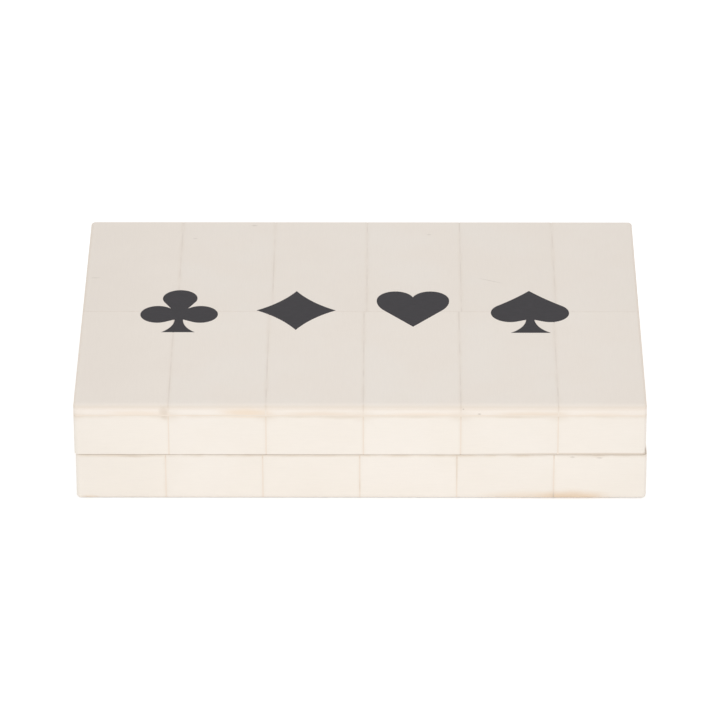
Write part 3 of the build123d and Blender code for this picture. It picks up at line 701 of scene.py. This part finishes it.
def felt_drop(x, y, low, high):
    """How far the open face lies below its highest level: gentle waves, and the rounding at the edges."""
    edge = min(x - low.x, high.x - x, y - low.y, high.y - y)
    wave = FELT_WAVE * (0.5 + 0.5 * noise.noise(Vector((x, y, low.z)) / FELT_WAVE_SIZE))
    if edge >= FELT_ROUND:
        return wave
    inwards = FELT_ROUND - edge
    return wave + FELT_ROUND - math.sqrt(max(FELT_ROUND**2 - inwards**2, 0))


def add_grid(mesh, xs, ys, height):
    """Adds the points of one face of a sheet, a row for each x, at the height of each place."""
    return [[mesh.verts.new((x, y, height(x, y))) for y in ys] for x in xs]


def fill_grid(mesh, rows):
    """Adds the faces between the points of a grid."""
    for first, second in zip(rows, rows[1:]):
        for square in zip(first, second, second[1:], first[1:]):
            mesh.faces.new(square)


def grid_rim(rows):
    """The points around the edge of a grid, in order."""
    return rows[0][:-1] + [row[-1] for row in rows[:-1]] + rows[-1][:0:-1] + [row[0] for row in rows[:0:-1]]


def felt_mesh(name, low, high, facing):
    """A closed sheet in a box: an open face with rounded edges and waves, a flat glued face and the rim."""
    open_z, glued_z = (high.z, low.z) if facing == FACING_UP else (low.z, high.z)
    xs = felt_places(low.x, high.x)
    ys = felt_places(low.y, high.y)
    mesh = bmesh.new()
    open_face = add_grid(mesh, xs, ys, lambda x, y: open_z - facing * felt_drop(x, y, low, high))
    glued_face = add_grid(mesh, xs, ys, lambda x, y: glued_z)
    fill_grid(mesh, open_face)
    fill_grid(mesh, glued_face)
    open_rim = grid_rim(open_face)
    glued_rim = grid_rim(glued_face)
    for i in range(len(open_rim)):
        mesh.faces.new((open_rim[i - 1], open_rim[i], glued_rim[i], glued_rim[i - 1]))
    bmesh.ops.recalc_face_normals(mesh, faces=mesh.faces)
    data = bpy.data.meshes.new(name)
    mesh.to_mesh(data)
    mesh.free()
    data.shade_smooth()
    return data


def felt_sheet(node, body, facing, material):
    """A felt sheet in the place of one solid, with its open face up or down."""
    low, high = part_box(node)
    data = felt_mesh(f"{node}_sheet", low, high, facing)
    data.materials.append(material)
    piece = bpy.data.objects.new(f"{node}_sheet", data)
    bpy.context.scene.collection.objects.link(piece)
    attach(piece, body)
    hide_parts(node)


felt_material = felt()
for well in ("left_card_well", "dice_well", "right_card_well"):
    felt_sheet(f"{well}_lining", "base", FACING_UP, felt_material)
felt_sheet("lid_lining", "lid", FACING_DOWN, felt_material)
felt_sheet("underside_felt", "base", FACING_DOWN, felt_material)

# Camera, fitted to the corners and seams in the photo

CAMERA_TARGET = Vector((-0.51, 0.0, 17.51)) * MM
CAMERA_AZIMUTH = 0.30
CAMERA_ELEVATION = 29.334
CAMERA_ROLL = -0.10
CAMERA_DISTANCE = 1987.9 * MM
CAMERA_LENS = 270.97
SENSOR_WIDTH = 36.0
CLIP_NEAR = 0.1
CLIP_FAR = 50.0


def outwards(azimuth, elevation):
    """The direction from the box to a viewer. Azimuth 0 is in front, and it grows towards +X."""
    turn = math.radians(azimuth)
    rise = math.radians(elevation)
    return Vector((math.sin(turn) * math.cos(rise), -math.cos(turn) * math.cos(rise), math.sin(rise)))


def photo_camera():
    """A long lens in front of the box and above it."""
    data = bpy.data.cameras.new("camera")
    data.sensor_width = SENSOR_WIDTH
    data.lens = CAMERA_LENS
    data.clip_start = CLIP_NEAR
    data.clip_end = CLIP_FAR
    camera = bpy.data.objects.new("camera", data)
    direction = outwards(CAMERA_AZIMUTH, CAMERA_ELEVATION)
    camera.location = CAMERA_TARGET + direction * CAMERA_DISTANCE
    roll = Quaternion((0, 0, 1), math.radians(CAMERA_ROLL))
    camera.rotation_euler = (direction.to_track_quat("Z", "Y") @ roll).to_euler()
    bpy.context.scene.collection.objects.link(camera)
    bpy.context.scene.camera = camera


# Studio: a white surround, a pale floor and one low soft lamp in front

WORLD_LEVEL = 0.88
KEY_LEVEL = 0.235
KEY_DISTANCE = 1.6
KEY_WIDTH = 1.5
KEY_HEIGHT = 0.25
KEY_AZIMUTH = 0.0
KEY_ELEVATION = 5.0
FLOOR_SIZE = 12.0
FLOOR_GAP = 0.1 * MM
FLOOR_GLOW = 0.35
FLOOR_ROUGHNESS = 0.9
FLOOR_SPECULAR = 0.0


def seen_directly(tree):
    """1 for what the camera sees, also in a reflection or through glass, and 0 for light on the object."""
    path = add(tree, "LightPath", {})
    direct = maths(tree, "MAXIMUM", path.outputs["Is Camera Ray"], path.outputs["Is Glossy Ray"])
    return maths(tree, "MAXIMUM", direct, path.outputs["Is Transmission Ray"])


def studio_world():
    """A white surround that lights the object at a plain level."""
    world = bpy.data.worlds.new("studio")
    bpy.context.scene.world = world
    world.use_nodes = True
    tree = world.node_tree
    strength = fade(tree, seen_directly(tree), (0.0, 1.0), (WORLD_LEVEL, 1.0))
    plug(tree, tree.nodes["Background"], {"Color": WHITE, "Strength": strength})


def studio_floor():
    """A pale matte floor that reads as white and keeps the object's shadow."""
    material, tree, shader = new_material("floor")
    plug(tree, shader, {
        "Base Color": FLOOR,
        "Roughness": FLOOR_ROUGHNESS,
        "Specular IOR Level": FLOOR_SPECULAR,
        "Emission Color": WHITE,
        "Emission Strength": product(tree, seen_directly(tree), FLOOR_GLOW),
    })
    half = FLOOR_SIZE / 2
    data = bpy.data.meshes.new("floor")
    signs = ((-1, -1), (1, -1), (1, 1), (-1, 1))
    data.from_pydata([(x * half, y * half, -FLOOR_GAP) for x, y in signs], [], [(0, 1, 2, 3)])
    data.materials.append(material)
    floor = bpy.data.objects.new("floor", data)
    bpy.context.scene.collection.objects.link(floor)


def key_lamp():
    """A flat lamp that faces the box. Level 1 lights a surface that faces it like a full white."""
    data = bpy.data.lights.new("key", "AREA")
    data.shape = "RECTANGLE"
    data.size = KEY_WIDTH
    data.size_y = KEY_HEIGHT
    data.energy = KEY_LEVEL * math.pi**2 * KEY_DISTANCE**2
    lamp = bpy.data.objects.new("key", data)
    direction = outwards(KEY_AZIMUTH, KEY_ELEVATION)
    lamp.location = CAMERA_TARGET + direction * KEY_DISTANCE
    lamp.rotation_euler = direction.to_track_quat("Z", "Y").to_euler()
    bpy.context.scene.collection.objects.link(lamp)


studio_world()
studio_floor()
key_lamp()
photo_camera()
bpy.context.scene.view_settings.view_transform = "Standard"
